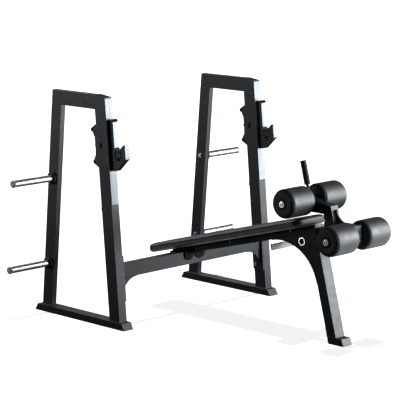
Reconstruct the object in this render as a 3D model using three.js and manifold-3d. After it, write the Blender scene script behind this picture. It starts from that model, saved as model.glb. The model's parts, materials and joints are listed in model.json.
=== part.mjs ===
// Olympic decline bench press: two trapezoid side frames with plate horns and sliding bar
// hooks, a crossbar, and a sloping bench with a padded leg hold at its raised end.
// Millimetres. +Z up, +X across the machine, -Y towards the raised foot end of the bench.
import * as THREE from "three";
import { mergeVertices } from "three/addons/utils/BufferGeometryUtils.js";
import Module from "manifold-3d";

const wasm = await Module();
wasm.setup();

// ---------------------------------------------------------------- driving dimensions
const GAP = 0.3; // clearance left between pieces that are fastened together
const WALL = 3; // wall of every hollow tube
const SIDE_X = 600; // side frame centre planes at +-SIDE_X

const RAIL = { width: 75, height: 40, bottomReach: 381, topReach: 358 };
const LEAN = Math.atan(0.08925); // both uprights lean inwards by 5.1 degrees
const UPRIGHT_FOOT_Y = 294.7; // upright centre lines at the top of the base rail
const FRONT_UPRIGHT = { width: 56, depth: 84, topRear: 1301, topFront: 1290 };
const REAR_UPRIGHT = { width: 35, depth: 80.6 };
const TOP_BEAM = { bottom: 1220, top: 1304 };
const CAP_THICKNESS = 3;
const STRIP = { bottom: 700, top: 1286, width: 52, thickness: 2.5 };
const PIN_HOLES = { radius: 6, lowest: 756, pitch: 48, count: 7 };
const STOP = { width: 40, depth: 12, bottom: 658, height: 31 };

const HORN = { radius: 20, length: 288, heights: [290, 792] };
const HORN_COLLAR = { radius: 35, thickness: 18 };
const HORN_CAP = { radius: 22, thickness: 12 };

const CROSSBAR = { front: -296, depth: 50, bottom: 279, height: 79 };
const END_PLATE = { thickness: 7.7, bottom: 153, top: 408, fillet: 110, ribThickness: 10 };

const SLOPE = Math.atan(0.2652); // the bench rises by 14.9 degrees towards the foot end
const BENCH_DATUM_Z = 308; // height of the top of the bench beam above the origin of Y
const BEAM = { width: 75, height: 40, head: 160 };
const LEG = { width: 75, rear: 1233, front: 1295 };
const LEG_FOOT = { bottomRear: -1357, bottomFront: -1465, topRear: -1346.6, topFront: -1450 };
const GUSSET = { radius: 270, thickness: 6, edge: 3 };
const TIE = { halfLength: 140, front: 1051, thickness: 10, top: -60, height: 36 };
const PAD = { halfWidth: 130, head: 28, foot: 1255, headRadius: 60, footRadius: 50 };
const PAD_BOARD = { thickness: 6, inset: 22 };
const PAD_TOP = 50; // top of the cushion above the bench beam
const PAD_ROUND = 15;
const MOUNT_LUG = { x: 45, z: 344, radius: 38, thickness: 8, top: 378 };

const ARM_WIDTH = 58;
const ARM = { bottom: 576, top: 668, rear: -1310, front: -1521.5 };
const NECK = { bottom: 585, top: 625 };
const POST = { faceY: -1355.2, faceZ: 757, depth: 62 };
const UPPER_ARM = { bottom: 706, rearTop: 787, midY: -1280, midTop: 764, frontTop: 755 };
const UPPER_AXLE = { y: -1185, z: 768 };
const LOWER_AXLE = { y: -1497, z: 605.5 };
const HUB = { upperRadius: 26, lowerRadius: 22, halfLength: 37.2 };
const WEB = { thickness: 12, radius: 64, land: 20, edge: 1.5 };
const AXLE = { radius: 12.5, halfLength: 228 };
const ROLLER = { radius: 81, inner: 39, outer: 225, edge: 22, bore: 12.9 };
const ROLLER_CAP = { radius: 17.5, thickness: 8, socket: 6 };
const HANDLE = { radius: 9, start: 26.6, gripStart: 82, gripEnd: 215, gripRadius: 17.5 };

// hook carriage, in the front upright's own axes: d out of its front face, s up along it
const CARRIAGE = { plate: 5, clearance: 0.7, frontNear: 3.5, frontFar: 11.5, width: 67.4 };
const HOOK = { width: 36, back: 12, column: 42, bottom: 852, top: 1136, wall: 6 };
const HOOK_SEAT = { height: 972, lipInner: 98, lipOuter: 127 };
const WINDOW = { d: -47, low: 986, high: 1000, radius: 8 };
const LINER = { thickness: 2.5, gap: 0.4 };
const PIN = { s: 996, radius: 5, knobRadius: 15, knobLength: 22, nose: -84.8, knobStart: -98 };

const COLOUR = { black: 0x202426, steel: 0xd8dade, vinyl: 0x17181a, rubber: 0x101113, pale: 0xc9ccd0 };
const blackPaint = { color: COLOUR.black, roughness: 0.45, metalness: 0.3 };
const chrome = { color: COLOUR.steel, roughness: 0.18, metalness: 1.0 };
const brushed = { color: COLOUR.pale, roughness: 0.35, metalness: 1.0 };
const vinyl = { color: COLOUR.vinyl, roughness: 0.5, metalness: 0.0 };
const rubber = { color: COLOUR.rubber, roughness: 0.8, metalness: 0.0 };
const palePlastic = { color: COLOUR.pale, roughness: 0.5, metalness: 0.0 };
const plywood = { color: 0x8a6a45, roughness: 0.8, metalness: 0.0 };

// ---------------------------------------------------------------- solid helpers
function solidFrom(geometry) {
  const bare = geometry.index ? geometry.toNonIndexed() : geometry.clone();
  bare.deleteAttribute("normal");
  bare.deleteAttribute("uv");
  const merged = mergeVertices(bare, 1e-4);
  return new wasm.Manifold(
    new wasm.Mesh({
      numProp: 3,
      vertProperties: new Float32Array(merged.attributes.position.array),
      triVerts: new Uint32Array(merged.index.array),
    }),
  );
}

function geometryFrom(solid) {
  const mesh = solid.getMesh();
  const geometry = new THREE.BufferGeometry();
  geometry.setAttribute("position", new THREE.BufferAttribute(mesh.vertProperties, mesh.numProp));
  geometry.setIndex(new THREE.BufferAttribute(mesh.triVerts, 1));
  geometry.computeVertexNormals();
  return geometry;
}

// a matrix whose columns are the three local axes and the origin
function frameMatrix(xAxis, yAxis, zAxis, origin = new THREE.Vector3()) {
  return new THREE.Matrix4().makeBasis(xAxis, yAxis, zAxis).setPosition(origin);
}

function outline(points) {
  return new THREE.Shape(points.map(([a, b]) => new THREE.Vector2(a, b)));
}

const X_AXIS = new THREE.Vector3(1, 0, 0);
const Y_AXIS = new THREE.Vector3(0, 1, 0);
const Z_AXIS = new THREE.Vector3(0, 0, 1);
const SIDE_VIEW = frameMatrix(Y_AXIS, Z_AXIS, X_AXIS); // shape (y, z) extruded along x
const FRONT_VIEW = frameMatrix(X_AXIS, Z_AXIS, Y_AXIS.clone().negate()); // (x, z) along -y

// a flat shape given in (y, z) and extruded from x0 to x1
function sidePrism(shape, x0, x1, curveSegments = 12) {
  const geometry = new THREE.ExtrudeGeometry(shape, { depth: x1 - x0, bevelEnabled: false, curveSegments });
  geometry.translate(0, 0, x0).applyMatrix4(SIDE_VIEW);
  return solidFrom(geometry);
}

// a flat shape given in (x, z) and extruded from yFront back to yFront + depth
function frontPrism(shape, yFront, depth, curveSegments = 12) {
  const geometry = new THREE.ExtrudeGeometry(shape, { depth, bevelEnabled: false, curveSegments });
  geometry.translate(0, 0, -(yFront + depth)).applyMatrix4(FRONT_VIEW);
  return solidFrom(geometry);
}

function block(x0, x1, y0, y1, z0, z1) {
  const geometry = new THREE.BoxGeometry(x1 - x0, y1 - y0, z1 - z0);
  geometry.translate((x0 + x1) / 2, (y0 + y1) / 2, (z0 + z1) / 2);
  return solidFrom(geometry);
}

// a convex outline with each edge i moved inwards by its own distance
function insetOutline(points, distances) {
  const count = points.length;
  const edges = points.map(([a, b], i) => {
    const [c, d] = points[(i + 1) % count];
    const length = Math.hypot(c - a, d - b);
    const normal = [-(d - b) / length, (c - a) / length];
    return { normal, offset: normal[0] * a + normal[1] * b + distances[i] };
  });
  return edges.map((edge, i) => {
    const previous = edges[(i + count - 1) % count];
    const det = previous.normal[0] * edge.normal[1] - previous.normal[1] * edge.normal[0];
    const y = (previous.offset * edge.normal[1] - edge.offset * previous.normal[1]) / det;
    const z = (previous.normal[0] * edge.offset - edge.normal[0] * previous.offset) / det;
    return [y, z];
  });
}

// a rectangular tube seen from the side: outline counter-clockwise, ends = edges left open
function sideTube(points, x, width, openEdges = []) {
  const distances = points.map((_, i) => (openEdges.includes(i) ? -20 : WALL));
  const outer = sidePrism(outline(points), x - width / 2, x + width / 2);
  const hollow = insetOutline(points, distances);
  return outer.subtract(sidePrism(outline(hollow), x - width / 2 + WALL, x + width / 2 - WALL));
}

// a turned piece: profile of [radius, x] pairs revolved about the X axis through (y, z)
function turned(profile, y, z, segments = 32) {
  const points = profile.map(([radius, x]) => new THREE.Vector2(radius, x));
  const geometry = new THREE.LatheGeometry(points, segments);
  geometry.applyMatrix4(frameMatrix(Z_AXIS, X_AXIS, Y_AXIS)).translate(0, y, z);
  const solid = solidFrom(geometry);
  return solid.volume() > 0 ? solid : solidFrom(flipped(geometry));
}

function flipped(geometry) {
  const loose = geometry.toNonIndexed();
  const position = loose.attributes.position;
  for (let i = 0; i < position.count; i += 3) {
    const a = new THREE.Vector3().fromBufferAttribute(position, i + 1);
    const b = new THREE.Vector3().fromBufferAttribute(position, i + 2);
    position.setXYZ(i + 1, b.x, b.y, b.z);
    position.setXYZ(i + 2, a.x, a.y, a.z);
  }
  return loose;
}

function rod(radius, x0, x1, y, z, segments = 28) {
  return turned([[0, x0], [radius, x0], [radius, x1], [0, x1]], y, z, segments);
}

function ring(inner, outer, x0, x1, y, z, segments = 32) {
  return turned([[inner, x0], [outer, x0], [outer, x1], [inner, x1], [inner, x0]], y, z, segments);
}

// ---------------------------------------------------------------- the assembly
const machine = new THREE.Group();

function add(name, solid, material) {
  const mesh = new THREE.Mesh(geometryFrom(solid), new THREE.MeshStandardMaterial(material));
  mesh.name = name;
  machine.add(mesh);
}

// the same piece on both sides: built at +X and mirrored to -X
function addPair(stem, solid, material) {
  add(`${stem}_right`, solid, material);
  add(`${stem}_left`, solid.mirror([1, 0, 0]), material);
}

// y of an upright's face at height z; face is +-half its depth, end is -1 front or +1 rear
function uprightY(z, end, depth, face) {
  const halfWidth = depth / 2 / Math.cos(LEAN);
  return end * (UPRIGHT_FOOT_Y - Math.tan(LEAN) * (z - RAIL.height)) + face * halfWidth;
}

const frontFace = (z) => uprightY(z, -1, FRONT_UPRIGHT.depth, -1);
const frontBack = (z) => uprightY(z, -1, FRONT_UPRIGHT.depth, 1);
const rearFace = (z) => uprightY(z, 1, REAR_UPRIGHT.depth, -1);
const rearBack = (z) => uprightY(z, 1, REAR_UPRIGHT.depth, 1);

// upright axes: d out of the front face, s up along it, from the face's foot on the rail
const S_AXIS = new THREE.Vector3(0, Math.sin(LEAN), Math.cos(LEAN));
const D_AXIS = new THREE.Vector3(0, -Math.cos(LEAN), Math.sin(LEAN));
const FACE_FOOT = new THREE.Vector3(0, frontFace(RAIL.height), RAIL.height);

// a shape in (d, s) extruded from x0 to x1; (s, d) order keeps the axes right-handed
function hookPrism(points, x0, x1) {
  const shape = outline(points.map(([d, s]) => [s, d]));
  const geometry = new THREE.ExtrudeGeometry(shape, { depth: x1 - x0, bevelEnabled: false });
  geometry.translate(0, 0, x0).applyMatrix4(frameMatrix(S_AXIS, D_AXIS, X_AXIS, FACE_FOOT));
  return solidFrom(geometry);
}

function alongUpright(d, s) {
  return FACE_FOOT.clone().addScaledVector(D_AXIS, d).addScaledVector(S_AXIS, s);
}

// a cylinder between two points
function bar(radius, from, to, segments = 20) {
  const direction = to.clone().sub(from);
  const geometry = new THREE.CylinderGeometry(radius, radius, direction.length(), segments);
  const turn = new THREE.Quaternion().setFromUnitVectors(Y_AXIS, direction.clone().normalize());
  geometry.applyQuaternion(turn);
  const middle = from.clone().add(to).multiplyScalar(0.5);
  geometry.translate(middle.x, middle.y, middle.z);
  return solidFrom(geometry);
}

// ---------------------------------------------------------------- side frames
function baseRail() {
  const { bottomReach, topReach, height, width } = RAIL;
  const points = [[-bottomReach, 0], [bottomReach, 0], [topReach, height], [-topReach, height]];
  let rail = sideTube(points, SIDE_X, width);
  for (const end of [-1, 1]) {
    const y = end * UPRIGHT_FOOT_Y;
    rail = rail.subtract(block(SIDE_X - 8, SIDE_X + 8, y - 25, y + 25, height - 8, height + 1));
  }
  return rail;
}

function frontUpright() {
  const foot = RAIL.height + GAP;
  const { topRear, topFront, width } = FRONT_UPRIGHT;
  const points = [
    [frontFace(foot), foot],
    [frontBack(foot), foot],
    [frontBack(topRear), topRear],
    [frontFace(topFront), topFront],
  ];
  let tube = sideTube(points, SIDE_X, width, [0, 2]);
  const at = (d, s) => alongUpright(d, s).setX(SIDE_X);
  for (let i = 0; i < PIN_HOLES.count; i += 1) {
    const s = PIN_HOLES.lowest + i * PIN_HOLES.pitch;
    const rear = -FRONT_UPRIGHT.depth;
    tube = tube.subtract(bar(PIN_HOLES.radius, at(rear - 2, s), at(rear + WALL + 2, s), 12));
  }
  return tube;
}

function uprightCap() {
  const { topRear, topFront, width } = FRONT_UPRIGHT;
  const rise = CAP_THICKNESS + GAP;
  const points = [
    [frontFace(topFront) - 1, topFront + GAP],
    [frontBack(topRear), topRear + GAP],
    [frontBack(topRear + rise), topRear + rise],
    [frontFace(topFront + rise) - 1, topFront + rise],
  ];
  return sidePrism(outline(points), SIDE_X - width / 2, SIDE_X + width / 2);
}

function rearUpright() {
  const foot = RAIL.height + GAP;
  const head = TOP_BEAM.bottom - GAP;
  const points = [[rearFace(foot), foot], [rearBack(foot), foot], [rearBack(head), head], [rearFace(head), head]];
  return sideTube(points, SIDE_X, REAR_UPRIGHT.width, [0, 2]);
}

function topBeam() {
  const { bottom, top } = TOP_BEAM;
  const points = [
    [frontBack(bottom) + GAP, bottom],
    [rearBack(bottom), bottom],
    [rearBack(top), top],
    [frontBack(top) + GAP, top],
  ];
  return sideTube(points, SIDE_X, REAR_UPRIGHT.width, [3]);
}

// stainless strip that takes the knurled bar on the front face of an upright
function wearStrip() {
  const length = (STRIP.top - STRIP.bottom) / Math.cos(LEAN);
  const start = (STRIP.bottom - RAIL.height) / Math.cos(LEAN);
  const near = GAP;
  const far = GAP + STRIP.thickness;
  const points = [[near, start], [far, start], [far, start + length], [near, start + length]];
  return hookPrism(points, SIDE_X - STRIP.width / 2, SIDE_X + STRIP.width / 2);
}

// rubber block behind the upright that the carriage comes down onto
function lowerStop() {
  const near = -FRONT_UPRIGHT.depth - GAP;
  const far = near - STOP.depth;
  const start = (STOP.bottom - RAIL.height) / Math.cos(LEAN);
  const points = [[near, start], [near, start + STOP.height], [far, start + STOP.height - 6], [far, start + 6]];
  return hookPrism(points, SIDE_X - STOP.width / 2, SIDE_X + STOP.width / 2);
}

function horn(z) {
  const y = uprightY(z, 1, 0, 0);
  const start = SIDE_X + REAR_UPRIGHT.width / 2 + GAP;
  return ring(HORN.radius - WALL, HORN.radius, start, start + HORN.length, y, z, 32);
}

function hornCollar(z) {
  const y = uprightY(z, 1, 0, 0);
  const start = SIDE_X + REAR_UPRIGHT.width / 2 + GAP;
  const end = start + HORN_COLLAR.thickness;
  const inner = HORN.radius + GAP;
  const { radius } = HORN_COLLAR;
  const profile = [[inner, start], [radius, start], [radius, end - 4], [radius - 4, end], [inner, end], [inner, start]];
  return turned(profile, y, z, 32);
}

function hornCap(z) {
  const y = uprightY(z, 1, 0, 0);
  const face = SIDE_X + REAR_UPRIGHT.width / 2 + HORN.length + 2 * GAP;
  const plug = HORN.radius - WALL - GAP;
  const { radius, thickness } = HORN_CAP;
  const profile = [
    [0, face - 16],
    [plug, face - 16],
    [plug, face],
    [radius, face],
    [radius, face + thickness - 4],
    [radius - 4, face + thickness],
    [0, face + thickness],
  ];
  return turned(profile, y, z, 32);
}

addPair("base_rail", baseRail(), blackPaint);
addPair("front_upright", frontUpright(), blackPaint);
addPair("upright_cap", uprightCap(), blackPaint);
addPair("rear_upright", rearUpright(), blackPaint);
addPair("top_beam", topBeam(), blackPaint);
addPair("wear_strip", wearStrip(), brushed);
addPair("hook_stop", lowerStop(), rubber);
HORN.heights.forEach((z, i) => {
  const level = i === 0 ? "lower" : "upper";
  addPair(`${level}_plate_horn`, horn(z), chrome);
  addPair(`${level}_horn_collar`, hornCollar(z), rubber);
  addPair(`${level}_horn_cap`, hornCap(z), palePlastic);
});

// ---------------------------------------------------------------- bar hooks
// two side plates with two rear lobes each, a front plate and two rear cross blocks
function hookCarriage() {
  const inner = FRONT_UPRIGHT.width / 2 + CARRIAGE.clearance;
  const side = [
    [CARRIAGE.frontFar, 852],
    [CARRIAGE.frontFar, 1134],
    [-72, 1118],
    [-114, 1094],
    [-120, 1083],
    [-109, 1070],
    [-95, 1041],
    [-93, 992],
    [-96, 942],
    [-111, 919],
    [-119, 902],
    [-108, 890],
    [-75, 869],
  ];
  const right = hookPrism(side, SIDE_X + inner, SIDE_X + inner + CARRIAGE.plate);
  const left = hookPrism(side, SIDE_X - inner - CARRIAGE.plate, SIDE_X - inner);
  const half = CARRIAGE.width / 2;
  const front = hookPrism(
    [[CARRIAGE.frontNear, 852], [CARRIAGE.frontFar, 852], [CARRIAGE.frontFar, 1134], [CARRIAGE.frontNear, 1134]],
    SIDE_X - half,
    SIDE_X + half,
  );
  const crossBlock = (low, high) =>
    hookPrism([[-86, low], [-86, high], [-108, high - 4], [-108, low + 4]], SIDE_X - half, SIDE_X + half);
  const pinBlock = hookPrism([[-86, 978], [-86, 1014], [-92, 1014], [-92, 978]], SIDE_X - half, SIDE_X + half);
  const { d, low, high, radius } = WINDOW;
  const across = (at) => bar(radius, alongUpright(d, at).setX(SIDE_X - 60), alongUpright(d, at).setX(SIDE_X + 60));
  const middle = hookPrism([[d - radius, low], [d + radius, low], [d + radius, high], [d - radius, high]],
    SIDE_X - 60, SIDE_X + 60);
  const window = across(low).add(across(high)).add(middle);
  const pinBore = bar(
    PIN.radius + 0.6,
    alongUpright(-80, PIN.s).setX(SIDE_X),
    alongUpright(-100, PIN.s).setX(SIDE_X),
  );
  return right
    .add(left)
    .add(front)
    .add(crossBlock(893, 917))
    .add(crossBlock(1071, 1095))
    .add(pinBlock)
    .subtract(window)
    .subtract(pinBore);
}

// the J-shaped plate that carries the bar
function hookPlate() {
  const { back, column, bottom, top } = HOOK;
  const { height, lipInner, lipOuter } = HOOK_SEAT;
  const points = [
    [back, bottom],
    [back, top],
    [column, top + 4],
    [column + 12, top - 8],
    [column, top - 12],
    [column, height],
    [lipInner, height],
    [lipInner + 4, height + 10],
    [lipInner + 18, height + 21],
    [lipOuter, height + 21],
    [lipOuter, 916],
    [46, bottom],
  ];
  const inner = SIDE_X + HOOK.width / 2 - HOOK.wall;
  const outer = SIDE_X - HOOK.width / 2 + HOOK.wall;
  const columnHollow = hookPrism(
    [[back - 2, bottom + 6], [back - 2, top - 8], [column - HOOK.wall, top - 8], [column - HOOK.wall, bottom + 6]],
    outer,
    inner,
  );
  const seatHollow = hookPrism(
    [
      [column - HOOK.wall - 1, bottom + 8],
      [46, bottom + 8],
      [lipOuter - HOOK.wall, 920],
      [lipOuter - HOOK.wall, height - HOOK.wall],
      [column - HOOK.wall - 1, height - HOOK.wall],
    ],
    outer,
    inner,
  );
  const body = hookPrism(points, SIDE_X - HOOK.width / 2, SIDE_X + HOOK.width / 2);
  return body.subtract(columnHollow).subtract(seatHollow);
}

// one bent strip that lines the column, the seat and the lip
function hookLiner() {
  const { column, top } = HOOK;
  const { height, lipInner, lipOuter } = HOOK_SEAT;
  const g = LINER.gap;
  const t = g + LINER.thickness;
  const points = [
    [column + g, top - 14],
    [column + t, top - 14],
    [column + t, height + t + 6],
    [column + t + 6, height + t],
    [lipInner - t - 2, height + t],
    [lipInner + 4 - t, height + 10 + t / 2],
    [lipInner + 18 - t / 2, height + 21 + t],
    [lipOuter + t, height + 21 + t],
    [lipOuter + t, 918],
    [lipOuter + g, 918],
    [lipOuter + g, height + 21 + g],
    [lipInner + 18 - g, height + 21 + g],
    [lipInner + 4 - g, height + 10 + g],
    [lipInner - g, height + g],
    [column + g, height + g],
  ];
  const half = HOOK.width / 2 - 1;
  return hookPrism(points, SIDE_X - half, SIDE_X + half);
}

// pull pin: a nose just off the upright's row of holes, and a knob behind the carriage
function hookPin() {
  const at = (d) => alongUpright(d, PIN.s).setX(SIDE_X);
  const shaft = bar(PIN.radius, at(PIN.nose), at(PIN.knobStart - 2));
  const knob = bar(PIN.knobRadius, at(PIN.knobStart), at(PIN.knobStart - PIN.knobLength), 24);
  return shaft.add(knob);
}

addPair("hook_carriage", hookCarriage(), blackPaint);
addPair("bar_hook", hookPlate(), blackPaint);
addPair("hook_liner", hookLiner(), brushed);
addPair("hook_pull_pin", hookPin(), brushed);

// ---------------------------------------------------------------- crossbar
function crossbar() {
  const { front, depth, bottom, height } = CROSSBAR;
  const half = SIDE_X - FRONT_UPRIGHT.width / 2 - END_PLATE.thickness - 2 * GAP;
  const outer = block(-half, half, front, front + depth, bottom, bottom + height);
  const y0 = front + WALL;
  const y1 = front + depth - WALL;
  return outer.subtract(block(-half - 5, half + 5, y0, y1, bottom + WALL, bottom + height - WALL));
}

// plate against the inner face of the front upright, with a curved rib under the crossbar
function crossbarEndPlate() {
  const { bottom, top, thickness, fillet, ribThickness } = END_PLATE;
  const outerX = SIDE_X - FRONT_UPRIGHT.width / 2 - GAP;
  const innerX = outerX - thickness;
  const plate = sidePrism(
    outline([
      [frontFace(bottom) + 1, bottom],
      [frontBack(bottom), bottom],
      [frontBack(top), top],
      [frontFace(top) + 1, top],
    ]),
    innerX,
    outerX,
  );
  const ribTop = CROSSBAR.bottom - GAP;
  const rib = new THREE.Shape();
  rib.moveTo(innerX + 1, ribTop - fillet);
  rib.lineTo(innerX + 1, ribTop);
  rib.lineTo(innerX - fillet, ribTop);
  rib.lineTo(innerX - fillet, ribTop - 2);
  rib.absarc(innerX - fillet, ribTop - fillet - 2, fillet, Math.PI / 2, 0, true);
  rib.closePath();
  return plate.add(frontPrism(rib, CROSSBAR.front, ribThickness, 12));
}

add("crossbar", crossbar(), blackPaint);
addPair("crossbar_end_plate", crossbarEndPlate(), blackPaint);

// ---------------------------------------------------------------- bench frame
// bench axes: a up the slope towards the foot end, h square to it, from the beam's top line
function benchPoint(a, h) {
  const y = -a * Math.cos(SLOPE) + h * Math.sin(SLOPE);
  const z = BENCH_DATUM_Z + a * Math.sin(SLOPE) + h * Math.cos(SLOPE);
  return [y, z];
}

const benchOutline = (points) => points.map(([a, h]) => benchPoint(a, h));

// distance a along the bench of the point at height z on the line of height h
function legHeight(a, z) {
  return (z - BENCH_DATUM_Z - a * Math.sin(SLOPE)) / Math.cos(SLOPE);
}

function benchBeam() {
  const foot = LEG.rear - GAP;
  const points = benchOutline([[foot, -BEAM.height], [BEAM.head, -BEAM.height], [BEAM.head, 0], [foot, 0]]);
  const tube = sideTube(points, 0, BEAM.width, [3]);
  const { front, depth, bottom, height } = CROSSBAR;
  const cope = block(-60, 60, front - 1, front + depth + 1, bottom, bottom + height + 0.6);
  const tab = sidePrism(outline(benchOutline([[170, -26], [124, -26], [124, -9], [170, -9]])), -28, 28);
  return tube.subtract(cope).add(tab);
}

// two rounded lugs under the beam, bolted to the front of the crossbar
function beamBracket() {
  const { x, z, radius, thickness, top } = MOUNT_LUG;
  const yFront = CROSSBAR.front - GAP - thickness;
  const lug = (side) => {
    const shape = new THREE.Shape();
    const clear = BEAM.width / 2 + GAP;
    shape.moveTo(side * clear, top);
    shape.lineTo(side * (x + radius - 14), top);
    shape.lineTo(side * (x + radius), top - 20);
    shape.lineTo(side * (x + radius), z);
    shape.absarc(side * x, z, radius, side > 0 ? 0 : Math.PI, side > 0 ? -Math.PI : 2 * Math.PI, side > 0);
    shape.lineTo(side * clear, z);
    shape.closePath();
    return frontPrism(shape, yFront, thickness, 12);
  };
  const bridge = block(-12, 12, yFront, yFront + thickness, z - 15, z);
  return lug(1).add(lug(-1)).add(bridge);
}

function benchLeg() {
  const foot = RAIL.height + GAP;
  const points = benchOutline([
    [LEG.front, legHeight(LEG.front, foot)],
    [LEG.rear, legHeight(LEG.rear, foot)],
    [LEG.rear, 0],
    [LEG.front, 0],
  ]);
  return sideTube(points, 0, LEG.width, [0]);
}

function legFoot() {
  const { bottomRear, bottomFront, topRear, topFront } = LEG_FOOT;
  const points = [[bottomFront, 0], [bottomRear, 0], [topRear, RAIL.height], [topFront, RAIL.height]];
  const foot = sideTube(points, 0, LEG.width);
  return foot.subtract(block(-12, 12, -1400, -1360, RAIL.height - 8, RAIL.height + 1));
}

// curved plate in the corner of beam and leg, one on each side
function legGusset() {
  const { radius, thickness, edge } = GUSSET;
  const corner = LEG.rear - GAP;
  const ceiling = -BEAM.height - GAP;
  const centreA = corner - edge - radius;
  const centreH = ceiling - edge - radius;
  const arc = [];
  const steps = 24;
  for (let i = 0; i <= steps; i += 1) {
    const angle = (Math.PI / 2) * (i / steps);
    arc.push([centreA + radius * Math.cos(angle), centreH + radius * Math.sin(angle)]);
  }
  const points = benchOutline([[corner, ceiling], [corner, centreH], ...arc, [centreA, ceiling]]);
  const outer = LEG.width / 2;
  return sidePrism(outline(points), outer - thickness, outer);
}

function crossTie() {
  const { halfLength, front, thickness, top, height } = TIE;
  const points = benchOutline([
    [front, top - height],
    [front - thickness, top - height],
    [front - thickness, top],
    [front, top],
  ]);
  return sidePrism(outline(points), -halfLength, halfLength);
}

add("bench_beam", benchBeam(), blackPaint);
add("beam_bracket", beamBracket(), blackPaint);
add("bench_leg", benchLeg(), blackPaint);
add("leg_foot", legFoot(), blackPaint);
addPair("leg_gusset", legGusset(), blackPaint);
add("cross_tie", crossTie(), blackPaint);

// ---------------------------------------------------------------- pad
const BENCH_FRAME = frameMatrix(
  X_AXIS,
  new THREE.Vector3(0, -Math.cos(SLOPE), Math.sin(SLOPE)),
  new THREE.Vector3(0, Math.sin(SLOPE), Math.cos(SLOPE)).negate(),
  new THREE.Vector3(0, 0, BENCH_DATUM_Z),
);

// plan outline of the pad in (x, a), pulled in by inset
function padOutline(inset) {
  const w = PAD.halfWidth - inset;
  const head = PAD.head + inset;
  const foot = PAD.foot - inset;
  const rh = PAD.headRadius - inset;
  const rf = PAD.footRadius - inset;
  const shape = new THREE.Shape();
  shape.moveTo(w, head + rh);
  shape.lineTo(w, foot - rf);
  shape.absarc(w - rf, foot - rf, rf, 0, Math.PI / 2, false);
  shape.absarc(rf - w, foot - rf, rf, Math.PI / 2, Math.PI, false);
  shape.absarc(rh - w, head + rh, rh, Math.PI, 1.5 * Math.PI, false);
  shape.absarc(w - rh, head + rh, rh, 1.5 * Math.PI, 2 * Math.PI, false);
  return shape;
}

// the plan outline raised between two heights, with rounded edges of the given size
function padLayer(inset, low, high, round) {
  const settings = { depth: high - low - 2 * round, curveSegments: 6, bevelEnabled: round > 0 };
  Object.assign(settings, { bevelSize: round, bevelThickness: round, bevelSegments: 4, bevelOffset: -round });
  const geometry = new THREE.ExtrudeGeometry(padOutline(inset), settings);
  geometry.translate(0, 0, -high + round).applyMatrix4(BENCH_FRAME);
  return solidFrom(geometry);
}

const boardTop = GAP + PAD_BOARD.thickness;
add("pad_board", padLayer(PAD_BOARD.inset, GAP, boardTop, 0), plywood);
add("pad_cushion", padLayer(0, boardTop + GAP, PAD_TOP, PAD_ROUND), vinyl);

// ---------------------------------------------------------------- leg hold
const postFace = (z) => POST.faceY - Math.tan(SLOPE) * (POST.faceZ - z);
const postBack = (z) => postFace(z) + POST.depth / Math.cos(SLOPE);

function legFrontY(z) {
  return benchPoint(LEG.front + GAP, legHeight(LEG.front + GAP, z))[0];
}

// outlines of the neck, lower arm, post and upper arm, counter-clockwise in (y, z)
function legHoldOutlines() {
  const neck = [
    [ARM.rear - 12, NECK.bottom],
    [legFrontY(NECK.bottom), NECK.bottom],
    [legFrontY(NECK.top), NECK.top],
    [ARM.rear - 12, NECK.top],
  ];
  const lowerArm = [[ARM.front, ARM.bottom], [ARM.rear, ARM.bottom], [ARM.rear, ARM.top], [ARM.front, ARM.top]];
  const low = ARM.top - 20;
  const high = UPPER_ARM.bottom + 20;
  const post = [[postFace(low), low], [postBack(low), low], [postBack(high), high], [postFace(high), high]];
  const { bottom, rearTop, midY, midTop, frontTop } = UPPER_ARM;
  const upperArm = [
    [postFace(bottom), bottom],
    [UPPER_AXLE.y - 37, bottom],
    [UPPER_AXLE.y - 10, rearTop],
    [midY, midTop],
    [postFace(frontTop), frontTop],
  ];
  return { neck, lowerArm, post, upperArm };
}

function legHoldFrame() {
  const { neck, lowerArm, post, upperArm } = legHoldOutlines();
  const half = ARM_WIDTH / 2;
  const prism = (points, width) => sidePrism(outline(points), -width, width);
  const shell = prism(neck, half).add(prism(lowerArm, half)).add(prism(post, half)).add(prism(upperArm, half));
  const hollow = (points, distances) => prism(insetOutline(points, distances), half - WALL);
  const inside = hollow(neck, [WALL, -10, WALL, -10])
    .add(hollow(lowerArm, [WALL, WALL, WALL, WALL]))
    .add(hollow(post, [-5, WALL, -5, WALL]))
    .add(hollow(upperArm, [WALL, WALL, WALL, WALL, WALL]));
  const hub = (radius, axle) => rod(radius, -HUB.halfLength, HUB.halfLength, axle.y, axle.z, 32);
  const bore = AXLE.radius + 0.4;
  return shell
    .subtract(inside)
    .add(hub(HUB.upperRadius, UPPER_AXLE))
    .add(hub(HUB.lowerRadius, LOWER_AXLE))
    .subtract(rod(bore, -60, 60, UPPER_AXLE.y, UPPER_AXLE.z))
    .subtract(rod(bore, -60, 60, LOWER_AXLE.y, LOWER_AXLE.z));
}

// thin web in the corner between the post and the lower arm
function legHoldWeb() {
  const { thickness, radius, land, edge } = WEB;
  const floor = ARM.top + GAP;
  const centreZ = floor + edge + radius;
  const centreY = postFace(centreZ) - GAP - land - radius;
  const shape = new THREE.Shape();
  shape.moveTo(centreY, floor);
  shape.lineTo(postFace(floor) - GAP, floor);
  shape.lineTo(postFace(centreZ) - GAP, centreZ);
  shape.absarc(centreY, centreZ, radius, 0, -Math.PI / 2, true);
  shape.closePath();
  return sidePrism(shape, -thickness / 2, thickness / 2, 10);
}

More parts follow.
